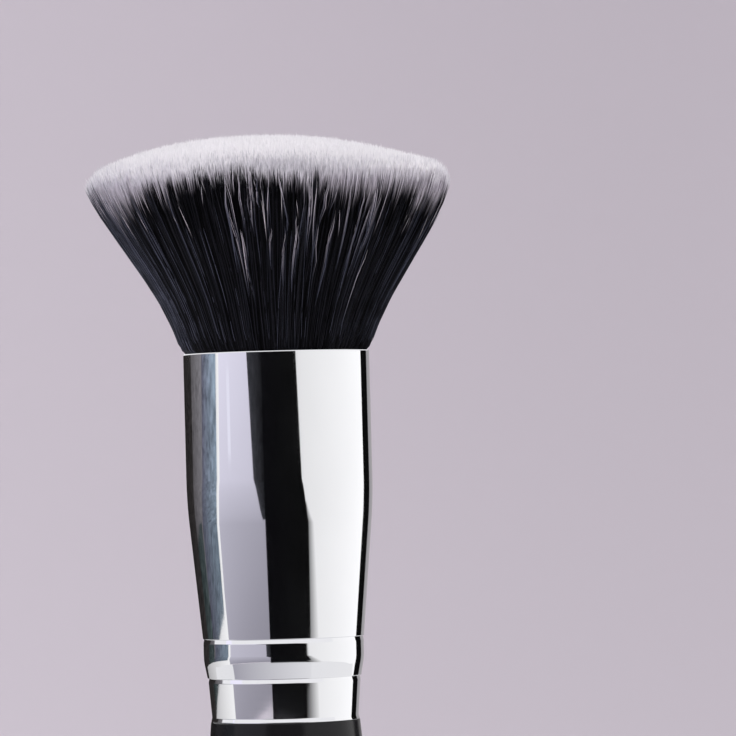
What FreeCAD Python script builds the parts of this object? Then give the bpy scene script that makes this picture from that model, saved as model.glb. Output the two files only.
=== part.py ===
# A flat-top kabuki makeup brush: a turned, lacquered handle, a plated ferrule crimped on to it,
# and a flared head of black fibres under longer white ones.
# Every piece is turned about Z. The foot of the handle stands on Z = 0 and the head points up.

import FreeCAD
import Part

import math
import os

Vector = FreeCAD.Vector

# Driving dimensions, in millimetres

# Handle, from the foot to the shoulder that the ferrule sits on
HANDLE_LENGTH = 42.0
BASE_DIA = 19.4
BASE_HEIGHT = 32.0
BASE_BLEND = 2.5
FOOT_CHAMFER = 0.6
SHOULDER_DIA = 17.6
TENON_PAST_CRIMP = 2.4
TENON_CHAMFER = 0.5

# Ferrule, a drawn tube: straight barrel at the mouth, then a cone down to the tail
FERRULE_LENGTH = 43.5
MOUTH_DIA = 22.0
TAIL_DIA = 17.2
WALL = 0.45
TAIL_CHAMFER = 0.25
MOUTH_CHAMFER = 0.2
BARREL_LENGTH = 17.6
KNEE_BLEND = 4.5

# Two rolled crimps lock the ferrule to the tenon, with a collar between them that turns upright halfway
LOWER_CRIMP_HEIGHT = 4.85
UPPER_CRIMP_HEIGHT = 9.6
CRIMP_WIDTH = 0.6
CRIMP_DEPTH = 0.22
CRIMP_STEP = 0.08

# Fits
TENON_FIT = 0.05
FIBRE_FIT = 0.05
THREAD_SEAT = 0.05

# Root of the fibre knot, inside the ferrule
ROOT_DEPTH = 11.0
RESIN_EMBED = 3.0
RESIN_FLOOR = 2.0
THREAD_DIA = 0.6
THREAD_GAP = 0.45
THREAD_TURNS = 2
THREAD_SIDES = 5
KNOT_SPREAD = 1.5

# Free fibres, above the ferrule's mouth
HEAD_DIA = 43.2
EDGE_HEIGHT = 20.8
EDGE_CHAMFER = 0.7
DOME_RISE = 4.8
DOME_BREAK_DIA = 26.0
DOME_BREAK_DROP = 1.7
CROWN_DIA = 9.0
ROLLOVER = 0.35
ROLLOVER_HEIGHT = 0.6
BREAK_DIA = 36.4
BREAK_HEIGHT = 13.1
TIP_BAND = 2.6

# Places worked out from those dimensions

TAIL_Z = HANDLE_LENGTH
MOUTH_Z = TAIL_Z + FERRULE_LENGTH
KNEE_Z = MOUTH_Z - BARREL_LENGTH
TENON_Z = TAIL_Z + UPPER_CRIMP_HEIGHT + TENON_PAST_CRIMP
EDGE_Z = MOUTH_Z + EDGE_HEIGHT
CROWN_Z = EDGE_Z + DOME_RISE
TIP_Z = EDGE_Z - TIP_BAND

MOUTH_R = MOUTH_DIA / 2
TAIL_R = TAIL_DIA / 2
HEAD_R = HEAD_DIA / 2
CONE_SLOPE = (MOUTH_R - TAIL_R) / (KNEE_Z - TAIL_Z)

BORE_INSET = WALL
TENON_INSET = BORE_INSET + TENON_FIT
KNOT_INSET = BORE_INSET + FIBRE_FIT
BOUND_INSET = KNOT_INSET + THREAD_DIA + THREAD_SEAT

THREAD_PITCH = THREAD_DIA + THREAD_GAP
THREAD_BED = THREAD_TURNS * THREAD_PITCH + THREAD_DIA + 2 * THREAD_SEAT
ROOT_Z = MOUTH_Z - ROOT_DEPTH
RESIN_Z = ROOT_Z + RESIN_EMBED
SPREAD_Z = RESIN_Z + THREAD_BED


# Profiles: edges in the XZ plane, given as (radius, height), that are turned about Z

def point(radius, height):
    """A point of a profile."""
    return Vector(radius, 0, height)


def lines(*corners):
    """Straight edges from each corner to the next."""
    return [
        Part.LineSegment(point(*start), point(*end)).toShape()
        for start, end in zip(corners, corners[1:])
    ]


def bowed(start, end, bow):
    """A round edge that rises bow above its chord, on the side away from the axis for an upward run."""
    (r1, z1), (r2, z2) = start, end
    chord = math.hypot(r2 - r1, z2 - z1)
    middle = ((r1 + r2) / 2 + bow * (z2 - z1) / chord, (z1 + z2) / 2 + bow * (r1 - r2) / chord)
    return Part.Arc(point(*start), point(*middle), point(*end)).toShape()


def blended(start, corner, end, blend):
    """Two straight edges that meet at a corner, rounded over the length blend on either side of it."""
    to_start = math.atan2(start[1] - corner[1], start[0] - corner[0])
    to_end = math.atan2(end[1] - corner[1], end[0] - corner[0])
    near = (corner[0] + blend * math.cos(to_start), corner[1] + blend * math.sin(to_start))
    far = (corner[0] + blend * math.cos(to_end), corner[1] + blend * math.sin(to_end))
    turn = to_end - to_start - math.pi
    bow = blend * math.cos(turn / 2) * math.tan(turn / 4)
    return [*lines(start, near), bowed(near, far, bow), *lines(far, end)]


def turned(edges):
    """The solid that a closed profile makes when it is turned about Z."""
    face = Part.Face(Part.Wire(Part.__sortEdges__(edges)))
    return face.revolve(Vector(0, 0, 0), Vector(0, 0, 1), 360)


def turned_to_axis(edges, low, high):
    """The solid under an upright profile, which runs from its low end to its high end."""
    return turned(edges + lines(high, (0, high[1]), (0, low[1]), low))


def slice_of(shape, low, high):
    """The part of a turned shape between two heights."""
    return shape.common(Part.makeCylinder(HEAD_DIA, high - low, Vector(0, 0, low)))


def one_solid(shape):
    """The shape as a single solid, without needless seams."""
    return shape.removeSplitter().Solids[0]


# Handle and ferrule

def cone_radius(height):
    """Outside radius of the ferrule's plain cone, at a height above the tail."""
    return TAIL_R + CONE_SLOPE * height


def crimp(height, inset):
    """A rolled crimp: its lower edge, which is a step narrower, its bottom and its upper edge."""
    low, high = height - CRIMP_WIDTH / 2, height + CRIMP_WIDTH / 2
    return [
        (cone_radius(low) - CRIMP_STEP - inset, TAIL_Z + low),
        (cone_radius(height) - CRIMP_DEPTH - inset, TAIL_Z + height),
        (cone_radius(high) - inset, TAIL_Z + high),
    ]


def inner_line(inset):
    """The corners of the ferrule's line from the tail to the mouth, set in by inset."""
    tail = (TAIL_R - inset, TAIL_Z)
    knee = (MOUTH_R - inset, KNEE_Z)
    mouth = (MOUTH_R - inset, MOUTH_Z)
    return [tail, *crimp(LOWER_CRIMP_HEIGHT, inset), *crimp(UPPER_CRIMP_HEIGHT, inset), knee, mouth]


def filling(inset):
    """All that lies inside the ferrule's line, set in by inset."""
    corners = inner_line(inset)
    return turned_to_axis(lines(*corners), corners[0], corners[-1])


def make_handle():
    """A short turned handle: straight base, taper, shoulder, and a tenon with a groove for each crimp."""
    foot = (BASE_DIA / 2, FOOT_CHAMFER)
    taper = (BASE_DIA / 2, BASE_HEIGHT)
    shoulder = (SHOULDER_DIA / 2, TAIL_Z)
    base = (foot[0] - FOOT_CHAMFER, 0)
    side = blended(foot, taper, shoulder, BASE_BLEND)
    body = turned_to_axis(lines(base, foot) + side, base, shoulder)
    return one_solid(body.fuse(make_tenon()))


def make_tenon():
    """The spigot of the handle, chamfered at its end."""
    tenon = slice_of(filling(TENON_INSET), TAIL_Z, TENON_Z)
    end = max(tenon.Edges, key=lambda e: (e.BoundBox.ZMin, e.BoundBox.XMax))
    return tenon.makeChamfer(TENON_CHAMFER, [end])


def make_ferrule():
    """A thin drawn wall: skirt, crimp, collar, crimp, cone, knee and barrel."""
    tail = (TAIL_R - TAIL_CHAMFER, TAIL_Z)
    skirt = (cone_radius(TAIL_CHAMFER), TAIL_Z + TAIL_CHAMFER)
    lower = crimp(LOWER_CRIMP_HEIGHT, 0)
    upper = crimp(UPPER_CRIMP_HEIGHT, 0)
    collar = (upper[0][0], (lower[-1][1] + upper[0][1]) / 2)
    knee = (MOUTH_R, KNEE_Z)
    barrel_end = (MOUTH_R, MOUTH_Z - MOUTH_CHAMFER)
    mouth = (MOUTH_R - MOUTH_CHAMFER, MOUTH_Z)
    bore = inner_line(BORE_INSET)
    return turned([
        *lines(bore[0], tail, skirt, *lower, collar, *upper),
        *blended(upper[-1], knee, barrel_end, KNEE_BLEND),
        *lines(barrel_end, mouth, bore[-1]),
        *lines(*bore),
    ])


# Fibre knot and head

def make_bound_root():
    """The narrowed root of the knot, sunk in the resin and drawn in by the thread."""
    return slice_of(filling(BOUND_INSET), ROOT_Z, SPREAD_Z)


def make_knot():
    """The fibres inside the ferrule: the bound root, and above it the spread up to the mouth."""
    narrow, full = MOUTH_R - BOUND_INSET, MOUTH_R - KNOT_INSET
    spread = Part.makeCone(narrow, full, KNOT_SPREAD, Vector(0, 0, SPREAD_Z))
    upper = slice_of(filling(KNOT_INSET), SPREAD_Z + KNOT_SPREAD, MOUTH_Z)
    return make_bound_root().fuse([spread, upper])


def make_head():
    """The free fibres: they roll over the ferrule's rim, flare, break upwards and end in a low dome."""
    mouth = (MOUTH_R - KNOT_INSET, MOUTH_Z)
    rollover = (MOUTH_R + ROLLOVER, MOUTH_Z + ROLLOVER_HEIGHT)
    flare_break = (BREAK_DIA / 2, MOUTH_Z + BREAK_HEIGHT)
    side_end = (HEAD_R, EDGE_Z - EDGE_CHAMFER)
    dome_edge = (HEAD_R - EDGE_CHAMFER, EDGE_Z)
    dome_break = (DOME_BREAK_DIA / 2, CROWN_Z - DOME_BREAK_DROP)
    crown = (CROWN_DIA / 2, CROWN_Z)
    side = lines(mouth, rollover, flare_break, side_end, dome_edge, dome_break, crown)
    return turned_to_axis(side, mouth, crown)


def make_black_fibres():
    """The black fibres, from the bound root to the height where their dye ends."""
    return one_solid(make_knot().fuse(slice_of(make_head(), MOUTH_Z, TIP_Z)))


def make_white_fibres():
    """The white ends of the fibres, above the black."""
    return slice_of(make_head(), TIP_Z, CROWN_Z)


def make_root_resin():
    """The cup of cured resin that bonds the root of the knot to the ferrule."""
    return slice_of(filling(BORE_INSET), ROOT_Z - RESIN_FLOOR, RESIN_Z).cut(make_bound_root())


# Binding thread

def helix_point(radius, low, angle):
    """The place of the thread's middle line at an angle from its start."""
    height = low + THREAD_PITCH * angle / (2 * math.pi)
    return Vector(radius * math.cos(angle), radius * math.sin(angle), height)


def helix_way(radius, angle):
    """The way that the thread runs at an angle from its start."""
    rise = THREAD_PITCH / (2 * math.pi)
    return Vector(-radius * math.sin(angle), radius * math.cos(angle), rise).normalize()


def tangent_arc(start, way, end):
    """A round edge that leaves start along way and ends at end."""
    chord = end - start
    half = chord.getAngle(way) / 2
    bisector = (way + Vector(chord).normalize()).normalize()
    middle = start + bisector * (chord.Length / 2 / math.cos(half))
    return Part.Arc(start, middle, end).toShape()


def biarc(start, start_way, end, end_way):
    """Two round edges from start to end that leave and arrive along the given unit ways."""
    chord = end - start
    bend = 2 * (1 - start_way.dot(end_way))
    along = chord.dot(start_way + end_way)
    reach = (math.sqrt(along * along + bend * chord.dot(chord)) - along) / bend
    join = (start + end + (start_way - end_way) * reach) * 0.5
    return [tangent_arc(start, start_way, join), tangent_arc(end, end_way * -1, join)]


def least_gap(path):
    """The least gap between one turn of the thread and the next, measured on points of its middle line."""
    per_turn = 72
    points = path.discretize(Number=round(per_turn * THREAD_TURNS) + 1)
    apart = [
        here.distanceToPoint(there)
        for i, here in enumerate(points)
        for there in points[i + per_turn // 2:]
    ]
    return min(apart) - THREAD_DIA


def make_binding_thread():
    """The thread wound round the root of the knot, as one unbroken faceted tube."""
    radius = MOUTH_R - BOUND_INSET + THREAD_SEAT + THREAD_DIA / 2
    low = RESIN_Z + THREAD_SEAT + THREAD_DIA / 2
    angles = [i * math.pi for i in range(round(2 * THREAD_TURNS) + 1)]
    points = [helix_point(radius, low, a) for a in angles]
    ways = [helix_way(radius, a) for a in angles]
    edges = []
    for i in range(len(angles) - 1):
        edges += biarc(points[i], ways[i], points[i + 1], ways[i + 1])
    path = Part.Wire(Part.__sortEdges__(edges))
    print("thread: least gap to itself", round(least_gap(path), 3), "mm")
    outward = Vector(1, 0, 0)
    upward = ways[0].cross(outward)
    spokes = [2 * math.pi * i / THREAD_SIDES for i in range(THREAD_SIDES)]
    ring = [outward * math.cos(s) + upward * math.sin(s) for s in spokes]
    corners = [points[0] + spoke * (THREAD_DIA / 2) for spoke in ring]
    section = Part.makePolygon(corners + corners[:1])
    return path.makePipeShell([section], True, False)


PIECES = {
    "handle": make_handle,
    "ferrule": make_ferrule,
    "root_resin": make_root_resin,
    "binding_thread": make_binding_thread,
    "black_fibres": make_black_fibres,
    "white_fibres": make_white_fibres,
}


def main():
    """Builds each piece and writes it to its own file."""
    os.makedirs("parts", exist_ok=True)
    for name, make in PIECES.items():
        shape = make()
        shape.exportStep(os.path.join("parts", name + ".step"))
        print(name, "solids", len(shape.Solids), "valid", shape.isValid(), "volume", round(shape.Volume, 2))


main()
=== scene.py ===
"""A flat-top makeup brush, dressed around its frame: handle, bright ferrule, bound root and fibre head."""

import math

import bmesh
import bpy
import numpy as np
from bpy.props import FloatProperty, FloatVectorProperty, IntProperty, PointerProperty
from mathutils import Matrix, Vector


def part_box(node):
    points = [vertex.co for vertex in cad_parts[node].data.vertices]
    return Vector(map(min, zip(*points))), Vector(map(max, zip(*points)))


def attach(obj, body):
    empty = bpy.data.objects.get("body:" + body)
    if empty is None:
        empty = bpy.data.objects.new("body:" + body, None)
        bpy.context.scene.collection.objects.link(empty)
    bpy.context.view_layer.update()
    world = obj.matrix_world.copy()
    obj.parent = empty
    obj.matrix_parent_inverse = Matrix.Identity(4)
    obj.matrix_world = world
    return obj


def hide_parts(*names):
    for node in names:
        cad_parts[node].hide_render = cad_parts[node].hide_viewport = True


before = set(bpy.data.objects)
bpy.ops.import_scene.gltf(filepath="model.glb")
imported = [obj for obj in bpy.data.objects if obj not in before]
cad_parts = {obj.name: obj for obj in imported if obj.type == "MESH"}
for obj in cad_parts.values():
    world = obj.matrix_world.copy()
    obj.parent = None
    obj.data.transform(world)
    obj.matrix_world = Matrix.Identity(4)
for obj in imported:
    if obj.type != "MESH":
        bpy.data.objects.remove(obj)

bl_info = {
    "name": "Flat-Top Makeup Brush",
    "version": (1, 0, 0),
    "blender": (4, 5, 0),
    "location": "View3D > Sidebar > Brush",
    "description": "Models a flat-top makeup brush on its frame and sets up a small studio for it",
    "category": "Add Mesh",
}

MM = 0.001
TURN = 2 * math.pi
BODY = "root"
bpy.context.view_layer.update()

# Distance within which points count as one
MERGE = 2e-6

# Places that the frame gives, in metres
TAIL_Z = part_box("ferrule")[0].z
MOUTH_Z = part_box("ferrule")[1].z
MOUTH_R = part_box("ferrule")[1].x
BASE_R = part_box("handle")[1].x
TENON_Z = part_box("handle")[1].z
ROOT_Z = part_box("black_fibres")[0].z
CROWN_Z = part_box("white_fibres")[1].z
HEAD_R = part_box("white_fibres")[1].x
THREAD_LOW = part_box("binding_thread")[0]
THREAD_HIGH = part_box("binding_thread")[1]

# Steps round the turned pieces and along a turn of thread, sides of the thread, and the rounding of the
# ferrule's crisp edges as a share of the crimps' ledge
HANDLE_STEPS = 192
FERRULE_STEPS = 256
CORE_STEPS = 128
BACKDROP_STEPS = 128
THREAD_STEPS = 96
THREAD_SIDES = 12
CRISP_SHARE = 1 / 3

# The fibres' colour map: U names a fibre's column and V runs from its root to its tip. Each level of dye has
# one column for each shade, and the curves say how a shade picks a dark and a pale colour
FIBRE_MAP = "OFBake"
COLUMNS = 128
SHADES = 4
COLUMN_SHARE = 0.7
DARK_CURVE = 3
PALE_CURVE = 0.3

# Sides of a fibre, scale of its crimp, and the seeds of the random draws
FIBRE_SIDES = 3
FIBRE_CRIMP = 25
SEEDS = {"flank": 100, "tips": 200, "silver": 300, "down": 350, "fringe": 370, "strays": 400}

# The dome: start and width of its rounded rim in shares of the radius, the most widths that it takes, the
# phase of its fullness at the rim, and how late or early fullness, lift and lean set in
RIM_START = 0.9
RIM_WIDTH = 0.1
RIM_MOST = 1.2
FULL_WAVE = 2.4
FULL_CURVE = 1.5
LIFT_CURVE = 4
LEAN_CURVE = 0.6

# Rises and dips of the dye line round the head: height, and the degrees of its middle and its width
DYE_WAVES = ((3.2 * MM, -16, 18), (-2.3 * MM, -72, 26), (-1.5 * MM, 66, 27))


def length(name, description, millimetres):
    """A length property whose default is given in millimetres."""
    return FloatProperty(name=name, description=description, default=millimetres * MM, unit="LENGTH")


def plain(name, description, value, unit="NONE"):
    """A number property."""
    return FloatProperty(name=name, description=description, default=value, unit=unit)


def colour(name, description, value):
    """A colour property."""
    return FloatVectorProperty(name=name, description=description, default=value, subtype="COLOR")


def count(name, description, value):
    """A whole-number property."""
    return IntProperty(name=name, description=description, default=value, min=1)


def angle(name, description, degrees):
    """An angle property whose default is given in degrees."""
    return FloatProperty(name=name, description=description, default=math.radians(degrees), subtype="ANGLE")


class FLATTOP_PG_handle(bpy.types.PropertyGroup):
    """Sizes and finish of the handle."""

    foot_round: length("Foot edge", "Rounding of the foot's edge", 0.6)
    base_height: length("Base height", "Height of the straight base, up to the corner of the taper", 32.0)
    base_round: length("Base rounding", "Length that is rounded on either side of that corner", 2.5)
    shoulder_radius: length("Shoulder radius", "Radius where the ferrule sits on the handle", 8.8)
    shoulder_round: length("Shoulder edge", "Rounding of the shoulder's edge", 0.15)
    tenon_radius: length("Tenon radius", "Radius of the spigot inside the ferrule", 8.0)
    lacquer: colour("Lacquer", "Colour of the lacquer", (0.010, 0.010, 0.011))


class FLATTOP_PG_ferrule(bpy.types.PropertyGroup):
    """Sizes and finish of the ferrule."""

    wall: length("Wall", "Thickness of the drawn tube", 0.45)
    tail_radius: length("Tail radius", "Outside radius at the handle", 8.6)
    lip: length("Lip", "How far the lip stands out at the tail", 0.16)
    lip_round: length("Lip rounding", "Rounding of the edge at the mouth", 0.2)
    barrel: length("Barrel length", "Straight length below the mouth, down to the knee's corner", 17.6)
    knee_round: length("Knee rounding", "Length that is rounded on either side of the knee's corner", 2.5)
    lower_crimp: length("Lower crimp", "Height of the lower crimp's bottom above the tail", 5.1)
    upper_crimp: length("Upper crimp", "Height of the upper crimp's bottom above the tail", 9.75)
    lower_depth: length("Lower depth", "Depth of the lower crimp below the cone", 0.21)
    upper_depth: length("Upper depth", "Depth of the upper crimp below the cone", 0.14)
    crimp_rise: length("Crimp rise", "Height of the sloped flank below a crimp's bottom", 0.48)
    crimp_ledge: length("Crimp ledge", "Height of the steep step above a crimp's bottom", 0.06)
    collar_radius: length("Collar radius", "Radius of the collar between the crimps", 9.47)
    collar_middle: length("Collar middle", "Height above the tail where the collar starts to draw in", 7.2)
    collar_round: length("Collar rounding", "Length that is rounded at the collar's middle", 0.6)
    plating: colour("Plating", "Colour of the bright plating", (0.83, 0.83, 0.85))


class FLATTOP_PG_root(bpy.types.PropertyGroup):
    """Sizes and finish of the bound root inside the ferrule."""

    thread_radius: length("Thread radius", "Radius of the binding thread", 0.3)
    thread_turns: count("Thread turns", "Turns of the binding thread", 2)
    root_radius: length("Root radius", "Radius of the bound root of the fibres", 9.8)
    bound_top: length("Bound height", "Height of the bound root above its foot", 5.8)
    spread: length("Spread", "Height over which the bound fibres spread to the bore", 1.5)
    resin: colour("Resin", "Colour of the cured resin", (0.55, 0.36, 0.12))
    cotton: colour("Cotton", "Colour of the thread", (0.74, 0.70, 0.62))


class FLATTOP_PG_head(bpy.types.PropertyGroup):
    """Sizes, counts and colours of the fibre head."""

    flare_radius: length("Flare radius", "Radius of the head where its flare starts, at the mouth", 11.2)
    flare_slope: plain("Flare slope", "Outward slope of the flare at the mouth", 0.28)
    rim_slope: plain("Rim slope", "Outward slope of the flare at the rim", 0.18)
    lean: length("Lean", "How far the head leans to the left at its rim", 0.5)
    hollow: length("Hollow", "How far the left flank is drawn in at half its height", 0.75)
    fullness: length("Fullness", "How much higher the dome is towards the left", 0.55)
    lift: length("Lift", "How much higher the dome's rim is at the right", 0.8)
    rim_drop: length("Rim below crown", "Height of the dome, from rim to crown", 4.8)
    rim_round: length("Rim rounding", "How much lower the outermost fibres end", 1.1)
    tuck: length("Tuck", "How far the fibres are drawn in at the mouth, to pass inside the ferrule", 0.75)
    tuck_height: length("Tuck height", "Height over which the fibres roll out over the ferrule's edge", 0.35)
    sink: length("Sink", "Depth inside the mouth at which the modelled fibres start", 1.5)
    dye_height: length("Dye line", "Height of the line between black and white, above the mouth", 18.6)
    fibre_radius: length("Fibre radius", "Radius of a fibre", 0.062)
    tip_length: length("Tip length", "Length of the fibres that only show at their tips", 6.0)
    flank_fibres: count("Flank fibres", "Fibres in each layer of the flank", 3200)
    tip_fibres: count("Tip fibres", "Fibres in each quarter of the dome", 9000)
    # Tufts of lighter fibres that partly stand in for glints on the black fibres: painted highlight
    silver_fibres: count("Silver fibres", "Tufts of lighter fibres on the flank", 40)
    # Down: fine fibres whose greyish colour stands in for the sheen at the flank's edges, a painted sheen
    sheen_down_fibres: count("Down", "Fine greyish fibres on the outside of the flank", 420)
    fringe_fibres: count("Fringe", "Pale fibres that stand loose at the left of the rim", 240)
    stray_fibres: count("Stray fibres", "Fibres that stand out of the head", 90)
    black: colour("Black", "Colour of the dyed fibres", (0.002, 0.002, 0.003))
    black_light: colour("Lighter black", "Colour of the lighter ones among them", (0.016, 0.017, 0.022))
    # Colour of the down, a painted sheen; it also gives the darker ends of the lighter tufts and of the
    # fringe
    grey: colour("Grey", "Colour of the down on the flank", (0.08, 0.09, 0.12))
    white: colour("White", "Colour of the fibre ends", (0.93, 0.91, 0.93))
    # Duller white: a tone that varies among the white ends, and the painted shade that the flank's pale ends
    # take
    dull_and_shaded_white: colour("Duller white", "Colour of the duller ones among them", (0.78, 0.76, 0.81))


class FLATTOP_PG_studio(bpy.types.PropertyGroup):
    """Camera, lamps and backdrop."""

    distance: length("Camera distance", "Distance from the camera to the brush's axis", 626.0)
    camera_height: length("Camera height", "Height of the camera above the floor", 70.2)
    view_width: length("View width", "Width of the picture at the brush's axis", 87.07)
    pitch: angle("Pitch", "How far the camera looks up", 1.2)
    yaw: angle("Yaw", "How far the camera looks to the right of the brush", 0.99)
    roll: angle("Roll", "How far the camera is turned about its view", -1.5)
    floor_radius: length("Floor radius", "Radius of the round floor, out to the wall", 1500.0)
    wall_height: length("Wall height", "Height of the wall round the floor", 1000.0)
    cove: length("Cove", "Rounding between floor and wall", 900.0)
    backdrop: colour("Backdrop", "Colour of floor and wall", (0.622, 0.577, 0.617))
    sky: colour("Sky", "Colour of the light from above", (0.95, 0.95, 1.0))
    sky_strength: plain("Sky strength", "Strength of the light from above", 0.65)
    key_power: plain("Key", "Power of the lamp at the right", 5.6, "POWER")
    fill_power: plain("Fill", "Power of the lamp at the left", 4.6, "POWER")
    top_power: plain("Top", "Power of the lamp overhead", 3.0, "POWER")


# Materials

def blank(name):
    """A new material with its node tree and its shader."""
    material = bpy.data.materials.new(name)
    material.use_nodes = True
    tree = material.node_tree
    return material, tree, tree.nodes["Principled BSDF"]


def put(tree, socket, value):
    """Links an output to a socket, or sets the socket to a plain value."""
    if isinstance(value, bpy.types.NodeSocket):
        tree.links.new(value, socket)
    else:
        socket.default_value = value


def maths(tree, operation, *values):
    """The result of a sum on numbers or outputs."""
    node = tree.nodes.new("ShaderNodeMath")
    node.operation = operation
    for socket, value in zip(node.inputs, values):
        put(tree, socket, value)
    return node.outputs["Value"]


def mapped(tree, value, from_low, from_high, to_low=0.0, to_high=1.0, smooth=False):
    """A value carried from one range to another."""
    node = tree.nodes.new("ShaderNodeMapRange")
    node.interpolation_type = "SMOOTHSTEP" if smooth else "LINEAR"
    for name, given in zip(("Value", "From Min", "From Max", "To Min", "To Max"),
                           (value, from_low, from_high, to_low, to_high)):
        put(tree, node.inputs[name], given)
    return node.outputs["Result"]


def mixed(tree, factor, low, high):
    """A colour between two others, each a plain colour or an output."""
    node = tree.nodes.new("ShaderNodeMix")
    node.data_type = "RGBA"
    put(tree, node.inputs[0], factor)
    for socket, value in zip(node.inputs[6:8], (low, high)):
        put(tree, socket, value if isinstance(value, bpy.types.NodeSocket) else (*value, 1.0))
    return node.outputs[2]


def placed(tree, scale):
    """The piece's own coordinates, stretched by scale."""
    coordinates = tree.nodes.new("ShaderNodeTexCoord")
    mapping = tree.nodes.new("ShaderNodeMapping")
    mapping.inputs["Scale"].default_value = scale
    tree.links.new(coordinates.outputs["Object"], mapping.inputs["Vector"])
    return mapping.outputs["Vector"]


def noise(tree, scale, detail=3.0):
    """A cloudy pattern, with its scale per metre along X, Y and Z."""
    node = tree.nodes.new("ShaderNodeTexNoise")
    node.inputs["Scale"].default_value = 1.0
    node.inputs["Detail"].default_value = detail
    tree.links.new(placed(tree, scale), node.inputs["Vector"])
    return node.outputs["Fac"]


def own_axes(tree):
    """The piece's own X, Y and Z."""
    coordinates = tree.nodes.new("ShaderNodeTexCoord")
    split = tree.nodes.new("ShaderNodeSeparateXYZ")
    tree.links.new(coordinates.outputs["Object"], split.inputs["Vector"])
    return split.outputs


def dressed(tree, shader, body, roughness, specular=0.5):
    """Gives a shader its colour, its roughness and the strength of its shine."""
    put(tree, shader.inputs["Base Color"], body)
    put(tree, shader.inputs["Roughness"], roughness)
    shader.inputs["Specular IOR Level"].default_value = specular


def bumped(tree, shader, height, strength, distance):
    """Gives a shader the relief of a height pattern."""
    node = tree.nodes.new("ShaderNodeBump")
    node.inputs["Strength"].default_value = strength
    node.inputs["Distance"].default_value = distance
    tree.links.new(height, node.inputs["Height"])
    tree.links.new(node.outputs["Normal"], shader.inputs["Normal"])


def scaled(base, factor):
    """A colour made lighter or darker."""
    return tuple(channel * factor for channel in base)


def lacquer_finish(base):
    """Black lacquer on turned wood: an even satin gloss with a faint orange peel."""
    material, tree, shader = blank("black_lacquer")
    peel = noise(tree, (900, 900, 900))
    cloud = noise(tree, (60, 60, 60))
    body = mixed(tree, cloud, scaled(base, 0.8), scaled(base, 1.4))
    dressed(tree, shader, body, mapped(tree, cloud, 0.3, 0.7, 0.14, 0.2), specular=0.2)
    bumped(tree, shader, peel, 0.08, 0.02 * MM)
    return material


def plating_finish(base):
    """Bright plating with faint polishing lines round the tube and a few soft smudges."""
    material, tree, shader = blank("bright_plating")
    shader.inputs["Metallic"].default_value = 1.0
    lines = noise(tree, (30, 30, 9000), 2.0)
    smudge = noise(tree, (130, 130, 90), 4.0)
    body = mixed(tree, smudge, scaled(base, 0.96), scaled(base, 1.03))
    haze = mapped(tree, smudge, 0.45, 0.8, 0.03, 0.08)
    dressed(tree, shader, body, maths(tree, "ADD", haze, mapped(tree, lines, 0.3, 0.7, 0.0, 0.02)))
    bumped(tree, shader, lines, 0.03, 0.004 * MM)
    return material


def resin_finish(base):
    """Cured amber resin with small bubbles."""
    material, tree, shader = blank("cured_resin")
    cloud = noise(tree, (400, 400, 400))
    bubbles = noise(tree, (2500, 2500, 2500), 1.0)
    body = mixed(tree, cloud, scaled(base, 0.6), scaled(base, 1.2))
    dressed(tree, shader, body, mapped(tree, cloud, 0.3, 0.7, 0.12, 0.3))
    bumped(tree, shader, bubbles, 0.3, 0.05 * MM)
    return material


def cotton_finish(base):
    """Twisted cotton: pale plies with shadow between them."""
    material, tree, shader = blank("twisted_cotton")
    lint = noise(tree, (4000, 4000, 6000))
    body = mixed(tree, lint, scaled(base, 0.55), scaled(base, 1.1))
    dressed(tree, shader, body, mapped(tree, lint, 0.3, 0.7, 0.8, 0.95))
    bumped(tree, shader, lint, 0.5, 0.05 * MM)
    return material


def fibre_finish(name, dark, pale, line_low, line_high, blend):
    """Fibres dyed along their length. A fibre's column says where its dye ends, and which shade it has."""
    material, tree, shader = blank(name)
    place = tree.nodes.new("ShaderNodeUVMap")
    place.uv_map = FIBRE_MAP
    split = tree.nodes.new("ShaderNodeSeparateXYZ")
    tree.links.new(place.outputs["UV"], split.inputs["Vector"])
    column = maths(tree, "FLOOR", maths(tree, "MULTIPLY", split.outputs["X"], COLUMNS))
    level = maths(tree, "FLOOR", maths(tree, "DIVIDE", column, SHADES))
    shade = mapped(tree, maths(tree, "MODULO", column, SHADES), 0, SHADES - 1)
    line = mapped(tree, level, 0, COLUMNS / SHADES - 1, line_low, line_high)
    low = maths(tree, "SUBTRACT", line, blend)
    high = maths(tree, "ADD", line, blend)
    end = mapped(tree, split.outputs["Y"], low, high, smooth=True)
    dyed = mixed(tree, maths(tree, "POWER", shade, DARK_CURVE), *dark)
    undyed = mixed(tree, maths(tree, "POWER", shade, PALE_CURVE), *pale)
    body = mixed(tree, end, dyed, undyed)
    dressed(tree, shader, body, mapped(tree, shade, 0, 1, 0.55, 0.42), specular=0.06)
    crimp = tree.nodes.new("ShaderNodeTexNoise")
    crimp.inputs["Scale"].default_value = FIBRE_CRIMP
    tree.links.new(place.outputs["UV"], crimp.inputs["Vector"])
    bumped(tree, shader, crimp.outputs["Fac"], 0.15, 0.02 * MM)
    return material


def core_finish(head):
    """The close mass of fibres under the ones that show: streaked, black below and pale above."""
    material, tree, shader = blank("packed_fibres")
    streak = noise(tree, (2600, 2600, 60))
    ragged = mapped(tree, streak, 0, 1, -CORE_RAGGED, CORE_RAGGED)
    height = maths(tree, "ADD", own_axes(tree)["Z"], ragged)
    line = MOUTH_Z + rim_height() - CORE_DROP
    end = mapped(tree, height, line - 2 * CORE_RAGGED, line - CORE_RAGGED, smooth=True)
    dark = mixed(tree, streak, scaled(head.black, 0.5), head.black_light)
    pale = mixed(tree, streak, scaled(head.dull_and_shaded_white, 0.8), head.white)
    body = mixed(tree, end, dark, pale)
    dressed(tree, shader, body, mapped(tree, streak, 0.3, 0.7, 0.6, 0.85), specular=0.1)
    bumped(tree, shader, streak, 0.4, 0.1 * MM)
    return material


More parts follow.
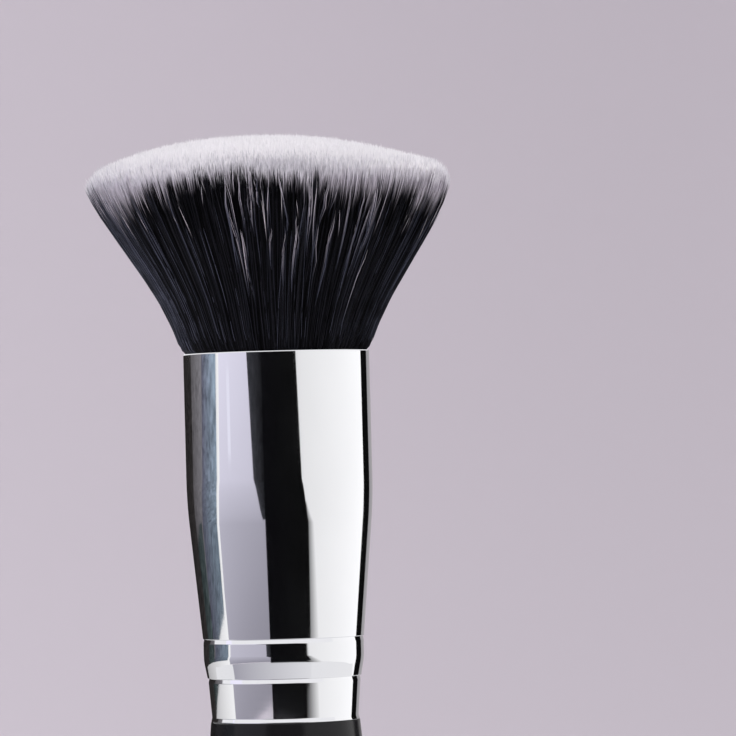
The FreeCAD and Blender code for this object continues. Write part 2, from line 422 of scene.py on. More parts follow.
def backdrop_finish(base):
    """Matt paper with painted shade: lighter at the left and a little darker towards the right."""
    material, tree, shader = blank("backdrop_paper")
    across = mapped(tree, own_axes(tree)["X"], -BACKDROP_SHADE_SPAN, BACKDROP_SHADE_SPAN, smooth=True)
    dressed(tree, shader, mixed(tree, across, scaled(base, 1.08), scaled(base, 0.95)), 0.9, specular=0.0)
    return material


def glow_finish(name, mottle):
    """A card that shines with the colour of its own points, more or less mottled."""
    material, tree, shader = blank(name)
    tree.nodes.remove(shader)
    glow = tree.nodes.new("ShaderNodeEmission")
    tint = tree.nodes.new("ShaderNodeAttribute")
    tint.attribute_name = "glow"
    tree.links.new(tint.outputs["Color"], glow.inputs["Color"])
    speckle = mapped(tree, noise(tree, (60, 60, 2500)), 0.3, 0.7, 1 - mottle, 1 + mottle)
    tree.links.new(speckle, glow.inputs["Strength"])
    tree.links.new(glow.outputs["Emission"], tree.nodes["Material Output"].inputs["Surface"])
    return material


# Shapes

def turned(line, steps):
    """A surface made by spinning a line of (radius, height) corners about the brush's axis."""
    bm = bmesh.new()
    corners = [bm.verts.new((radius, 0, height)) for radius, height in line]
    edges = [bm.edges.new(pair) for pair in zip(corners, corners[1:])]
    bmesh.ops.spin(bm, geom=corners + edges, cent=(0, 0, 0), axis=(0, 0, 1), dvec=(0, 0, 0), angle=TURN,
                   steps=steps, use_merge=True, use_normal_flip=False, use_duplicate=False)
    bmesh.ops.remove_doubles(bm, verts=bm.verts, dist=MERGE)
    bmesh.ops.recalc_face_normals(bm, faces=bm.faces)
    return bm


def round_ring(bm, corner, size, segments):
    """Rounds the ring of edges that a corner has made, and keeps its shading off the faces on either side."""

    def on_corner(vert):
        return math.hypot(math.hypot(*vert.co.xy) - corner[0], vert.co.z - corner[1]) < MERGE

    ring = [edge for edge in bm.edges if all(on_corner(vert) for vert in edge.verts)]
    if not ring:
        raise ValueError(f"no ring of edges at {corner}")
    rounded = bmesh.ops.bevel(bm, geom=ring, offset=size, offset_type="OFFSET", segments=segments,
                              profile=0.5, affect="EDGES", material=-1)["faces"]
    inside = set(rounded)
    for edge in {edge for face in rounded for edge in face.edges}:
        edge.smooth = inside.issuperset(edge.link_faces)


def linked(name, mesh, material):
    """An object at the origin for a mesh, with its material."""
    mesh.materials.clear()
    mesh.materials.append(material)
    made = bpy.data.objects.new(name, mesh)
    bpy.context.scene.collection.objects.link(made)
    return made


def mesh_from(name, bm):
    """The mesh of a finished bmesh, shaded smooth."""
    for face in bm.faces:
        face.smooth = True
    mesh = bpy.data.meshes.new(name)
    bm.to_mesh(mesh)
    bm.free()
    return mesh


def seated(piece, slot, *nodes):
    """Puts a piece on the brush, in place of the frame's nodes that it stands for."""
    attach(piece, BODY)
    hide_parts(*nodes)
    return piece


# Fibres

def strand(rings):
    """One upright fibre with unit radius and unit rings, closed at its root and pointed at its tip."""
    bm = bmesh.new()
    ring = bmesh.ops.create_circle(bm, cap_ends=True, segments=FIBRE_SIDES, radius=1.0)["verts"]
    edges = bm.edges[:]
    for _ in range(rings - 1):
        made = bmesh.ops.extrude_edge_only(bm, edges=edges)["geom"]
        ring = [item for item in made if isinstance(item, bmesh.types.BMVert)]
        sides = [item for item in made if isinstance(item, bmesh.types.BMEdge)]
        edges = [edge for edge in sides if set(edge.verts) <= set(ring)]
        bmesh.ops.translate(bm, verts=ring, vec=(0, 0, 1))
    bmesh.ops.pointmerge(bm, verts=ring, merge_co=(0, 0, rings - 1))
    bmesh.ops.recalc_face_normals(bm, faces=bm.faces)
    places = bm.loops.layers.uv.new(FIBRE_MAP)
    for face in bm.faces:
        for corner in face.loops:
            sideways, height = corner.vert.co.yz
            corner[places].uv = (0.5 + 0.5 * sideways, height / (rings - 1))
    return mesh_from("strand", bm)


def copies(mesh, number):
    """A mesh that holds a shape many times over."""
    row = bpy.data.objects.new("row", mesh)
    bpy.context.scene.collection.objects.link(row)
    array = row.modifiers.new("Copies", "ARRAY")
    array.count = number
    array.use_relative_offset = False
    graph = bpy.context.evaluated_depsgraph_get()
    made = bpy.data.meshes.new_from_object(row.evaluated_get(graph))
    bpy.data.objects.remove(row)
    return made


def fibres(name, line, radius, column, material):
    """A piece of many fibres. line holds each fibre's rings from root to tip, radius its size at each."""
    number, rings = radius.shape
    template = strand(rings)
    shape = np.array([vert.co for vert in template.vertices])
    level = np.rint(shape[:, 2]).astype(int)
    mesh = copies(template, number)
    outward = line[:, -1] * (1, 1, 0) - line[:, 0] * (1, 1, 0) + (MERGE, 0, 0)
    outward /= np.linalg.norm(outward, axis=1, keepdims=True)
    sideways = np.cross((0, 0, 1), outward)
    ring = shape[None, :, :1] * outward[:, None] + shape[None, :, 1:2] * sideways[:, None]
    points = line[:, level] + ring * radius[:, level, None]
    mesh.vertices.foreach_set("co", points.astype(np.float32).ravel())
    places = mesh.uv_layers[FIBRE_MAP].uv
    uv = np.empty(len(places) * 2, np.float32)
    places.foreach_get("vector", uv)
    uv = uv.reshape(number, -1, 2)
    uv[:, :, 0] = (column[:, None] + 0.5 + COLUMN_SHARE * (uv[:, :, 0] - 0.5)) / COLUMNS
    places.foreach_set("vector", uv.ravel())
    mesh.update()
    return linked(name, mesh, material)


def rim_height():
    """Height of the head's rim above the mouth."""
    return CROWN_Z - MOUTH_Z - bpy.context.scene.flat_top_head.rim_drop


def round_points(head, radius, turn, height):
    """Points of the head at heights above the mouth. Angles start at the front and grow to the right."""
    share = np.clip(height / rim_height(), 0, 1)
    drawn_in = head.hollow * np.sin(math.pi * share) * np.maximum(-np.sin(turn), 0)
    across = radius * np.sin(turn) - head.lean * share**LEAN_CURVE + drawn_in
    return np.stack([across, -radius * np.cos(turn), MOUTH_Z + height], axis=-1)


def rooted(head, top):
    """Heights of long fibres' rings, from inside the mouth up to their tops."""
    return -head.sink + (top + head.sink)[:, None] * np.array(FLANK_RINGS)


def flare(head, height):
    """Radius of the head at a height above the mouth: a smooth curve between the slopes at mouth and rim."""
    rim = rim_height()
    t = height / rim
    start, end = head.flare_radius, HEAD_R
    first, last = head.flare_slope * rim, head.rim_slope * rim
    square = 3 * (end - start) - 2 * first - last
    cube = 2 * (start - end) + first + last
    curve = start + first * t + square * t**2 + cube * t**3
    tucked = head.tuck * np.exp(-(np.maximum(height, 0) / head.tuck_height) ** 2)
    return np.where(height < 0, start - head.tuck, curve - tucked)


def dome(head, radius, turn):
    """Height of the fibre tips above the mouth: a dome, fuller at the left and lifted at its right rim."""
    out = radius / HEAD_R
    edge = np.clip((out - RIM_START) / RIM_WIDTH, 0, RIM_MOST)
    fuller = head.fullness * np.maximum(-np.sin(turn), 0) * np.sin(FULL_WAVE * out**FULL_CURVE)
    lifted = head.lift * np.maximum(np.sin(turn), 0) * out**LIFT_CURVE
    return rim_height() + head.rim_drop * (1 - out**2) - head.rim_round * edge**2 + fuller + lifted


def dye_line(head, turn):
    """Height of the dye line above the mouth, at angles round the head."""
    line = np.full(np.shape(turn), head.dye_height)
    for rise, middle, width in DYE_WAVES:
        line += rise * np.exp(-((turn - math.radians(middle)) / math.radians(width)) ** 2)
    return line


def columns(shade, line, low, high):
    """The colour columns of fibres with these shades, whose dye ends at these shares of their rings."""
    levels = COLUMNS // SHADES
    level = np.clip(np.rint((line - low) / (high - low) * (levels - 1)), 0, levels - 1)
    return level * SHADES + np.minimum(np.floor(shade * SHADES), SHADES - 1)


# Stage

def upright(first, last, distance, high, low=0.0):
    """The two edges of an upright card."""
    return (first, last, distance, low), (first, last, distance, high)


def on_floor(first, last):
    """The two edges of a card that lies on the floor."""
    return tuple((first, last, distance, FLOOR_CARD_Z) for distance in FLOOR_CARD_REACH)


# Distance from the brush to either side over which the backdrop's painted shade makes it darker towards the
# right
BACKDROP_SHADE_SPAN = 0.15

# Lamps: name, place, size and colour. Their power is a property of the studio
LAMPS = (
    ("key", (0.55, -0.55, 1.05), 0.7, (1.0, 0.97, 0.94)),
    ("fill", (-0.62, -0.5, 1.0), 0.7, (0.92, 0.92, 1.0)),
    ("top", (0.1, 0.1, 1.2), 0.9, (1.0, 1.0, 1.0)),
)

# Cards round the brush: name, lower and upper edge, colours at the two ends, mottle and how much brighter the
# upper edge is. An edge is two angles in degrees, from the camera towards its right, a distance and a height
CARD_STEPS = 48
CARD_TOP = 0.12
LEFT_TOP = 0.094
FLOOR_CARD_Z = 0.0005
FLOOR_CARD_REACH = (0.02, 0.22)
HIDDEN_FROM = ("camera", "diffuse", "shadow", "transmission", "volume_scatter")
CARDS = (
    ("left_edge", (-180, -137, 0.23, 0.0), (-180, -130.7, 0.23, LEFT_TOP),
     (0.015, 0.013, 0.013), (0.03, 0.027, 0.027), 0.8),
    ("left_grey", (-137, -124, 0.23, 0.0), (-130.7, -103.6, 0.23, LEFT_TOP),
     (0.05, 0.047, 0.05), (0.10, 0.096, 0.104), 0.5, 2.4),
    ("left_blue", (-124, -88, 0.228, 0.0), (-103.6, -76.3, 0.228, LEFT_TOP),
     (0.055, 0.055, 0.076), (0.14, 0.18, 0.22), 0.9, 2.4),
    ("left_low", *upright(-165, -84, 0.22, 0.0215), (0.35, 0.34, 0.35), (1.05, 1.05, 1.05), 0.0),
    ("strip_light", (-91, -87.5, 0.226, 0.0), (-78.9, -74.4, 0.226, LEFT_TOP),
     (0.9, 0.9, 0.9), (1.1, 1.1, 1.1), 0.0),
    ("left_shade", (-137, -90, 0.227, 0.02), (-134, -86, 0.227, 0.045),
     (0.03, 0.04, 0.04), (0.1, 0.13, 0.14), 1.0),
    ("lavender_panel", *upright(-92, 60, 0.23, CARD_TOP), (0.37, 0.36, 0.42), (0.24, 0.23, 0.27), 0.0, 2.9),
    ("lavender_streak", *upright(-64, -60, 0.225, 0.088, 0.074), (0.9, 0.89, 1.02), (0.9, 0.89, 1.02), 0.0),
    ("dark_patch", (-21.5, -14, 0.205, 0.033), (-44, -14, 0.205, CARD_TOP),
     (0.045, 0.046, 0.054), (0.001, 0.001, 0.001), 0.9),
    ("front_flag", (-19, 41, 0.2, 0.0), (-18, 18, 0.2, 0.115),
     (0.004, 0.004, 0.005), (0.003, 0.003, 0.003), 0.5),
    ("flag_fade", (33, 58, 0.199, 0.0), (31.5, 32, 0.199, 0.05),
     (0.004, 0.004, 0.005), (0.9, 0.9, 0.9), 0.0),
    ("softbox", *upright(5, 128, 0.22, CARD_TOP), (0.85, 0.85, 0.85), (1.2, 1.2, 1.2), 0.0),
    ("side_flag", *upright(126, 146, 0.21, CARD_TOP), (0.004, 0.004, 0.004), (0.004, 0.004, 0.004), 0.0),
    ("right_grey", *upright(146, 180, 0.23, CARD_TOP), (0.35, 0.34, 0.35), (0.45, 0.43, 0.45), 0.0),
    ("floor_left", *on_floor(-175, -80), (0.9, 0.9, 0.9), (0.9, 0.9, 0.92), 0.0),
    ("floor_front", *on_floor(-80, 40), (0.42, 0.41, 0.47), (0.85, 0.85, 0.87), 0.0),
    ("floor_right", *on_floor(40, 175), (0.9, 0.9, 0.92), (1.0, 1.0, 1.0), 0.0),
    ("ceiling", *upright(-180, 180, 0.24, 0.6, 0.092), (0.97, 0.97, 0.99), (0.97, 0.97, 0.99), 0.0),
)


class FLATTOP_OT_stage(bpy.types.Operator):
    """Sets up the camera, the round floor with its wall, the lamps and the cards that the metal mirrors"""

    bl_idname = "flat_top.stage"
    bl_label = "Stage"

    def execute(self, context):
        studio = context.scene.flat_top_studio
        context.scene.view_settings.view_transform = "Standard"
        self.camera(context, studio)
        self.backdrop(studio)
        self.lamps(context, studio)
        for row in CARDS:
            self.card(*row)
        return {"FINISHED"}

    def camera(self, context, studio):
        """A long lens at the height of the ferrule, looking a little up and past the brush."""
        data = bpy.data.cameras.new("camera")
        data.lens = data.sensor_width * studio.distance / studio.view_width
        made = bpy.data.objects.new("camera", data)
        turn = Matrix.Rotation(-studio.yaw, 4, "Z") @ Matrix.Rotation(math.pi / 2 + studio.pitch, 4, "X")
        place = Matrix.Translation((0, -studio.distance, studio.camera_height))
        made.matrix_world = place @ turn @ Matrix.Rotation(studio.roll, 4, "Z")
        context.scene.collection.objects.link(made)
        context.scene.camera = made

    def backdrop(self, studio):
        """A round floor that sweeps up into a wall."""
        edge = (studio.floor_radius, 0)
        bm = turned([(0, 0), edge, (studio.floor_radius, studio.wall_height)], BACKDROP_STEPS)
        round_ring(bm, edge, studio.cove, segments=24)
        bmesh.ops.reverse_faces(bm, faces=bm.faces)
        linked("backdrop", mesh_from("backdrop", bm), backdrop_finish(studio.backdrop))

    def lamps(self, context, studio):
        """An even sky, a key lamp at the right, a cooler fill at the left and a lamp overhead."""
        world = bpy.data.worlds.new("sky")
        world.use_nodes = True
        light = world.node_tree.nodes["Background"].inputs
        light["Color"].default_value = (*studio.sky, 1.0)
        light["Strength"].default_value = studio.sky_strength
        context.scene.world = world
        for name, place, size, tint in LAMPS:
            data = bpy.data.lights.new(name, "AREA")
            data.size = size
            data.energy = getattr(studio, name + "_power")
            data.color = tint
            lamp = bpy.data.objects.new(name, data)
            lamp.location = place
            aim = Vector((0, 0, MOUTH_Z)) - Vector(place)
            lamp.rotation_euler = aim.to_track_quat("-Z", "Y").to_euler()
            lamp.visible_camera = False
            lamp.visible_glossy = False
            context.scene.collection.objects.link(lamp)

    def card(self, name, foot, head, start, end, mottle, rise=1.0):
        """A bent card that only reflections show, between its lower and its upper edge."""
        bm = bmesh.new()
        bmesh.ops.create_grid(bm, x_segments=CARD_STEPS, y_segments=1, size=0.5)
        tint = bm.verts.layers.float_color.new("glow")
        for vert in bm.verts:
            across = vert.co.x + 0.5
            first, last, distance, height, strength = (*head, rise) if vert.co.y > 0 else (*foot, 1.0)
            turn = math.radians(first + (last - first) * across)
            vert.co = (distance * math.sin(turn), -distance * math.cos(turn), height)
            vert[tint] = (*(strength * Vector(start).lerp(Vector(end), across)), 1.0)
        made = linked(name, mesh_from(name, bm), glow_finish(name, mottle))
        for ray in HIDDEN_FROM:
            setattr(made, "visible_" + ray, False)


# Pieces

class FLATTOP_OT_handle(bpy.types.Operator):
    """Turns the lacquered handle with its flat foot, straight base, taper and tenon"""

    bl_idname = "flat_top.handle"
    bl_label = "Handle"

    def execute(self, context):
        sizes = context.scene.flat_top_handle
        foot = (BASE_R, 0)
        taper = (BASE_R, sizes.base_height)
        shoulder = (sizes.shoulder_radius, TAIL_Z)
        tenon = (sizes.tenon_radius, TENON_Z)
        line = [(0, 0), foot, taper, shoulder, (sizes.tenon_radius, TAIL_Z), tenon, (0, TENON_Z)]
        bm = turned(line, HANDLE_STEPS)
        round_ring(bm, taper, sizes.base_round, segments=12)
        round_ring(bm, foot, sizes.foot_round, segments=6)
        round_ring(bm, shoulder, sizes.shoulder_round, segments=4)
        round_ring(bm, tenon, sizes.foot_round, segments=2)
        handle = linked("lacquered_handle", mesh_from("handle", bm), lacquer_finish(sizes.lacquer))
        seated(handle, "lacquered_wood", "handle")
        return {"FINISHED"}


class FLATTOP_OT_ferrule(bpy.types.Operator):
    """Draws the ferrule: barrel, knee, cone, two crimps with a collar between them, skirt and lip"""

    bl_idname = "flat_top.ferrule"
    bl_label = "Ferrule"

    def execute(self, context):
        sizes = context.scene.flat_top_ferrule
        knee = (MOUTH_R, MOUTH_Z - sizes.barrel)
        slope = (MOUTH_R - sizes.tail_radius) / (knee[1] - TAIL_Z)

        def cone(height, inset=0.0):
            return (sizes.tail_radius + slope * height - inset, TAIL_Z + height)

        rise, ledge, wall = sizes.crimp_rise, sizes.crimp_ledge, sizes.wall
        tail = (sizes.tail_radius + sizes.lip, TAIL_Z)
        lip = (sizes.tail_radius + sizes.lip, TAIL_Z + ledge)
        skirt_foot = cone(rise)
        skirt_edge = cone(sizes.lower_crimp - rise, ledge)
        lower_bottom = cone(sizes.lower_crimp, sizes.lower_depth)
        collar_foot = cone(sizes.lower_crimp + ledge)
        collar_middle = (sizes.collar_radius, TAIL_Z + sizes.collar_middle)
        collar_edge = (sizes.collar_radius, TAIL_Z + sizes.upper_crimp - rise)
        upper_bottom = cone(sizes.upper_crimp, sizes.upper_depth)
        tube_foot = cone(sizes.upper_crimp + ledge)
        mouth = (MOUTH_R, MOUTH_Z)
        bore_mouth = (MOUTH_R - wall, MOUTH_Z)
        bore_knee = (MOUTH_R - wall, knee[1])
        bore_tail = (sizes.tail_radius - wall, TAIL_Z)
        skirt = [tail, lip, skirt_foot, skirt_edge, lower_bottom, collar_foot]
        crimp = [collar_edge, upper_bottom, tube_foot]
        bm = turned([*skirt, collar_middle, *crimp, knee, mouth, bore_mouth, bore_knee, bore_tail, tail],
                    FERRULE_STEPS)
        round_ring(bm, knee, sizes.knee_round, segments=20)
        round_ring(bm, collar_middle, sizes.collar_round, segments=6)
        round_ring(bm, mouth, sizes.lip_round, segments=6)
        for corner in (*skirt, *crimp, bore_mouth):
            round_ring(bm, corner, ledge * CRISP_SHARE, segments=3)
        ferrule = linked("bright_ferrule", mesh_from("ferrule", bm), plating_finish(sizes.plating))
        seated(ferrule, "plated_metal", "ferrule")
        return {"FINISHED"}


class FLATTOP_OT_root(bpy.types.Operator):
    """Winds the thread round the root of the fibres and finishes the resin below it"""

    bl_idname = "flat_top.root"
    bl_label = "Bound root"

    def execute(self, context):
        sizes = context.scene.flat_top_root
        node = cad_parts["root_resin"]
        node.material_slots[0].material = resin_finish(sizes.resin)
        steps = THREAD_STEPS * sizes.thread_turns
        radius = sizes.thread_radius
        climb = (THREAD_HIGH.z - THREAD_LOW.z - 2 * radius) / steps
        bm = bmesh.new()
        start = Matrix.Translation((THREAD_HIGH.x - radius, 0, THREAD_LOW.z + radius))
        upright_ring = start @ Matrix.Rotation(TURN / 4, 4, "X")
        bmesh.ops.create_circle(bm, cap_ends=True, segments=THREAD_SIDES, radius=radius, matrix=upright_ring)
        bmesh.ops.spin(bm, geom=bm.verts[:] + bm.edges[:] + bm.faces[:], cent=(0, 0, 0), axis=(0, 0, 1),
                       dvec=(0, 0, climb), angle=TURN * sizes.thread_turns, steps=steps, use_merge=False)
        bmesh.ops.recalc_face_normals(bm, faces=bm.faces)
        thread = linked("wound_thread", mesh_from("thread", bm), cotton_finish(sizes.cotton))
        seated(thread, "cotton_thread", "binding_thread")
        return {"FINISHED"}


# The core: its share of the head's radius, depth below the tips, gap to the bore, start of its flare above
# the mouth, rings up the flank and over the dome, and how ragged its colours meet
CORE_SHARE = 0.93
CORE_DROP = 1.0 * MM
CORE_FIT = 0.05 * MM
CORE_START = 0.5 * MM
CORE_RINGS = 12
CORE_RAGGED = 0.3 * MM


class FLATTOP_OT_core(bpy.types.Operator):
    """Turns the close mass of fibres that lies under the ones that show, from the bound root to the dome"""

    bl_idname = "flat_top.core"
    bl_label = "Fibre core"

    def execute(self, context):
        head = context.scene.flat_top_head
        root = context.scene.flat_top_root
        bore = MOUTH_R - context.scene.flat_top_ferrule.wall - CORE_FIT
        bound = ROOT_Z + root.bound_top
        flank = np.linspace(CORE_START, rim_height() - CORE_DROP, CORE_RINGS)
        line = [(0, ROOT_Z), (root.root_radius, ROOT_Z), (root.root_radius, bound)]
        line += [(bore, bound + root.spread), (bore, MOUTH_Z)]
        line += [(CORE_SHARE * r, MOUTH_Z + h) for r, h in zip(flare(head, flank), flank)]
        across = np.linspace(line[-1][0], 0, CORE_RINGS)[1:]
        line += [(r, MOUTH_Z + dome(head, r, 0.0) - CORE_DROP) for r in across]
        core = linked("fibre_core", mesh_from("core", turned(line, CORE_STEPS)), core_finish(head))
        seated(core, "black_fibre", "black_fibres", "white_fibres")
        return {"FINISHED"}


# Layers of the flank as shares of the head's radius, with the least length of their pale tips. Rings along a
# fibre, its thickness there, and the dye line's range and softness in shares of its rings
LAYERS = ((0.975, 1.0, 0.0), (0.935, 0.98, 0.4 * MM), (0.88, 0.94, 1.3 * MM))
FLANK_RINGS = (0.0, 0.06, 0.085, 0.2, 0.36, 0.53, 0.7, 0.86, 0.95, 1.0)
FLANK_TAPER = (1.0, 1.0, 1.0, 1.0, 1.0, 1.0, 0.95, 0.85, 0.65, 0.0)
FLANK_STOUT = (0.75, 1.2)
DYE_RANGE = (0.6, 1.02)
DYE_BLEND = 0.07

# Tufts of the flank: how many, and how far they draw in their fibres. Bulge, length and dye line vary from
# tuft to tuft and from fibre to fibre, lean and wave only from fibre to fibre, and both set in near the tip
TUFTS = 130
TUFT_PULL = (0.1, 0.6)
BULGE = (0.008, 0.005)
UNEVEN = (0.15 * MM, 0.2 * MM)
RAGGED = (0.6 * MM, 0.4 * MM)
FLANK_LEAN = 0.012
FLANK_WAVE = 0.01
SWING_CURVE = 1.5


class FLATTOP_OT_flank(bpy.types.Operator):
    """Grows the long fibres that show on the flank, in layers, each dyed black up to its own line"""

    bl_idname = "flat_top.flank"
    bl_label = "Flank fibres"

    def execute(self, context):
        head = context.scene.flat_top_head
        # The flank's pale ends take the duller white throughout, darker than the dome's tips: painted shade
        # of the white band under the dome
        finish = fibre_finish("dyed_fibres", (head.black, head.black_light),
                              (scaled(head.dull_and_shaded_white, 0.75), head.dull_and_shaded_white), *DYE_RANGE, DYE_BLEND)
        for index, layer in enumerate(LAYERS):
            piece = self.layer(head, index, *layer, finish)
            seated(piece, "black_fibre", "black_fibres", "white_fibres")
        return {"FINISHED"}

    def layer(self, head, index, inner, outer, pale, finish):
        """One layer of fibres between two shares of the head's radius, with pale tips at least this long."""
        draw = np.random.default_rng(SEEDS["flank"] + index)
        number = head.flank_fibres
        turn = draw.uniform(-math.pi, math.pi, number)
        out = draw.uniform(inner, outer, number)
        tufts = np.sort(draw.uniform(-math.pi, math.pi, TUFTS))
        tuft = np.searchsorted(tufts, turn) % TUFTS

        def spread(by_tuft, by_fibre):
            return draw.normal(0, by_tuft, TUFTS)[tuft] + draw.normal(0, by_fibre, number)

        toward = (tufts[tuft] - turn + math.pi) % TURN - math.pi
        lean = draw.uniform(*TUFT_PULL, TUFTS)[tuft] * toward + draw.normal(0, FLANK_LEAN, number)
        bulge = spread(*BULGE)
        top = dome(head, out * (1 + bulge) * HEAD_R, turn) + spread(*UNEVEN)
        ring = np.array(FLANK_RINGS)
        height = rooted(head, top)
        swing = ring[None] ** SWING_CURVE
        phase = ring[None] + draw.uniform(0, 1, (number, 1))
        wave = draw.normal(0, FLANK_WAVE, number)[:, None] * np.sin(TURN * phase)
        radius = out[:, None] * flare(head, height) * (1 + bulge[:, None] * swing)
        line = round_points(head, radius, turn[:, None] + (lean[:, None] + wave) * swing, height)
        dyed = np.minimum(dye_line(head, turn) + spread(*RAGGED), top - pale)
        share = (dyed + head.sink) / (top + head.sink)
        ring_share = np.interp(share, ring, np.linspace(0, 1, len(ring)))
        column = columns(draw.uniform(0, 1, number), ring_share, *DYE_RANGE)
        thick = head.fibre_radius * draw.uniform(*FLANK_STOUT, number)[:, None] * np.array(FLANK_TAPER)
        return fibres(f"flank_fibres_{index + 1}", line, thick, column, finish)


# The tips: reach in shares of the head's radius, rings and thickness, spreads of height and place, the dye of
# the root that tips have past a share of the radius, and the shades, made duller by painted shade at the
# front past another share
TIP_REACH = 0.97
TIP_RINGS = (0.0, 0.5, 0.85, 1.0)
TIP_TAPER = (1.0, 1.0, 0.8, 0.0)
TIP_STOUT = (1.2, 1.8)
TIP_UNEVEN = 0.13 * MM
TIP_ASTRAY = 0.22 * MM
TIP_DYE_RANGE = (-0.2, 0.55)
TIP_DYE_START = 0.25
TIP_DYE_BLEND = 0.15
TIP_DYED = 0.86
TIP_SHADES = (0.3, 1.0)
TIP_PAINTED_SHADE_FROM = 0.6
TIP_PAINTED_SHADE_WIDTH = math.radians(34)
QUARTERS = 4


class FLATTOP_OT_tips(bpy.types.Operator):
    """Grows the white fibre ends that make up the dome, a quarter at a time"""

    bl_idname = "flat_top.tips"
    bl_label = "Fibre tips"

    def execute(self, context):
        head = context.scene.flat_top_head
        finish = fibre_finish("white_tips", (head.black, head.black_light),
                              (scaled(head.dull_and_shaded_white, 0.75), head.white), *TIP_DYE_RANGE, TIP_DYE_BLEND)
        for quarter in range(QUARTERS):
            piece = self.quarter(head, quarter, finish)
            seated(piece, "white_fibre", "white_fibres")
        return {"FINISHED"}

    def quarter(self, head, quarter, finish):
        """The fibre ends over one quarter of the dome."""
        draw = np.random.default_rng(SEEDS["tips"] + quarter)
        number = head.tip_fibres
        turn = draw.uniform(quarter, quarter + 1, number) * TURN / QUARTERS
        tip = TIP_REACH * HEAD_R * np.sqrt(draw.uniform(0, 1, number))
        top = dome(head, tip, turn) + draw.normal(0, TIP_UNEVEN, number)
        out = tip / flare(head, top)
        ring = np.array(TIP_RINGS)
        height = top[:, None] - head.tip_length * (1 - ring)
        line = round_points(head, out[:, None] * flare(head, height), turn[:, None], height)
        line[:, :, :2] += draw.normal(0, TIP_ASTRAY, (number, 1, 2)) * ring[None, :, None] ** 2
        root = draw.uniform(TIP_DYE_START, TIP_DYE_RANGE[1], number)
        dyed = np.where(out > TIP_DYED, root, TIP_DYE_RANGE[0])
        # Painted shade: past a share of the radius, tips at the front, towards the camera, get duller shades,
        # so the front of the dome looks shaded
        ahead = np.exp(-((np.remainder(turn + math.pi, TURN) - math.pi) / TIP_PAINTED_SHADE_WIDTH) ** 2)
        painted_shade = ahead * np.clip((out - TIP_PAINTED_SHADE_FROM) / (TIP_REACH - TIP_PAINTED_SHADE_FROM), 0, 1)
        column = columns(draw.uniform(*TIP_SHADES, number) * (1 - painted_shade), dyed, *TIP_DYE_RANGE)
        thick = head.fibre_radius * draw.uniform(*TIP_STOUT, number)[:, None] * np.array(TIP_TAPER)
        return fibres(f"tip_fibres_{quarter + 1}", line, thick, column, finish)


# Tufts of lighter fibres that partly stand in for glints on the black flank, a painted highlight: the share
# at the front and its angles, the reach, the upper end below the rim and against the dye line, the share that
# hangs lower and by how much, and a tuft's fibres, spreads, rings, thickness and where its colour turns paler
# along its length
PALE_GLINT_FRONT = 0.85
PALE_GLINT_ANGLES = (math.radians(-14), math.radians(40))
PALE_GLINT_ASTRAY = 0.015
PALE_GLINT_REACH = (4 * MM, 11 * MM)
PALE_GLINT_BELOW = 1.0 * MM
PALE_GLINT_UPPER = (-0.5 * MM, 0.8 * MM)
PALE_GLINT_LOOSE = 0.3
PALE_GLINT_LOWER = (2 * MM, 8 * MM)
PALE_GLINT_NUMBER = (2, 6)
PALE_GLINT_CROOK = 0.005
PALE_GLINT_WIDTH = 0.005
PALE_GLINT_ENDS = 0.4 * MM
PALE_GLINT_SWAY = 0.02
PALE_GLINT_OUT = 1.004
PALE_GLINT_RINGS = (0.0, 0.2, 0.45, 0.7, 0.9, 1.0)
PALE_GLINT_TAPER = (0.2, 0.7, 1.0, 0.9, 0.5, 0.0)
PALE_GLINT_STOUT = (0.5, 0.9)
PALE_GLINT_GRADING = (0.3, 0.8, 0.3)

# Down, whose greyish colour is painted sheen: the share at the sides and its angles, the heights it reaches,
# how far it stands out and where its colour turns lighter
DOWN_SIDES = 0.5
DOWN_AT = (-1.5, 1.5)
DOWN_CHANCE = (0.65, 0.35)
DOWN_SPREAD = 0.3
DOWN_TOPS = (12 * MM, 19 * MM)
DOWN_AWAY = 0.012
DOWN_SHEEN_LINE = (0.5, 1.1, 0.05)

# Fringe: middle and spread of its angles, its ends below the rim, how far it stands out and its dye. Sway and
# thickness of down and fringe
FRINGE_AT = (-1.65, 0.35)
FRINGE_BELOW = (0, 2 * MM)
FRINGE_AWAY = 0.02
FRINGE_DYE = (0.85, 1.0, 0.08)
LOOSE_SWAY = 0.03
LOOSE_STOUT = (0.33, 0.66)

# Strays: the heights they reach, how far they stand out, sway, thickness and dye
STRAY_TOPS = (15 * MM, 20 * MM)
STRAY_AWAY = (0.005, 0.03)
STRAY_SWAY = 0.05
STRAY_STOUT = 0.6
STRAY_DYE = (0.7, 1.1, 0.05)


